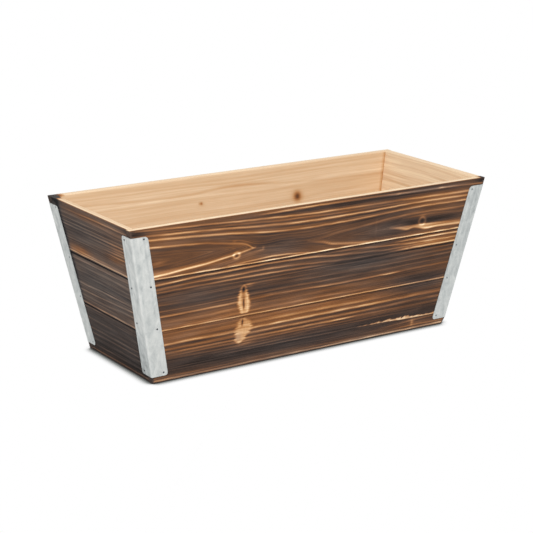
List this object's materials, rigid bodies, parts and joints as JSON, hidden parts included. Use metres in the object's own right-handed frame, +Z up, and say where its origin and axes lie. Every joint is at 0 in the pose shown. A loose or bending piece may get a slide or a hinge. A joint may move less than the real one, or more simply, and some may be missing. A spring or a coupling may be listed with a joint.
{
  "type": "herb planter box",
  "caption": "Open-top rectangular herb planter with outward-leaning scorched softwood walls, scored grooves and nailed galvanised corner straps.",
  "frame": {"origin": "middle of the base, on the surface the planter stands on", "axes": "+X along the long side to the right seen from the front, +Y from the front wall to the back wall, +Z up through the open top"},
  "size_m": [0.45, 0.1778, 0.17],
  "materials": {
    "scorched_softwood": "torched and brushed outside, raw and pale inside",
    "raw_softwood": "raw, planed",
    "galvanised_sheet": "galvanised, dull, faint spangle",
    "brad_steel": "dark, dull",
    "pin_steel": "bright wire"
  },
  "bodies": {
    "root": {"front_wall": "scorched_softwood", "back_wall": "scorched_softwood", "left_end_wall": "scorched_softwood", "right_end_wall": "scorched_softwood", "bottom_board": "raw_softwood", "front_left_strap": "galvanised_sheet", "front_right_strap": "galvanised_sheet", "back_left_strap": "galvanised_sheet", "back_right_strap": "galvanised_sheet", "front_left_strap_brads": "brad_steel", "front_right_strap_brads": "brad_steel", "back_left_strap_brads": "brad_steel", "back_right_strap_brads": "brad_steel", "front_left_corner_pins": "pin_steel", "front_right_corner_pins": "pin_steel", "back_left_corner_pins": "pin_steel", "back_right_corner_pins": "pin_steel", "front_bottom_pins": "pin_steel", "back_bottom_pins": "pin_steel", "left_bottom_pins": "pin_steel", "right_bottom_pins": "pin_steel"}
  },
  "joints": []
}
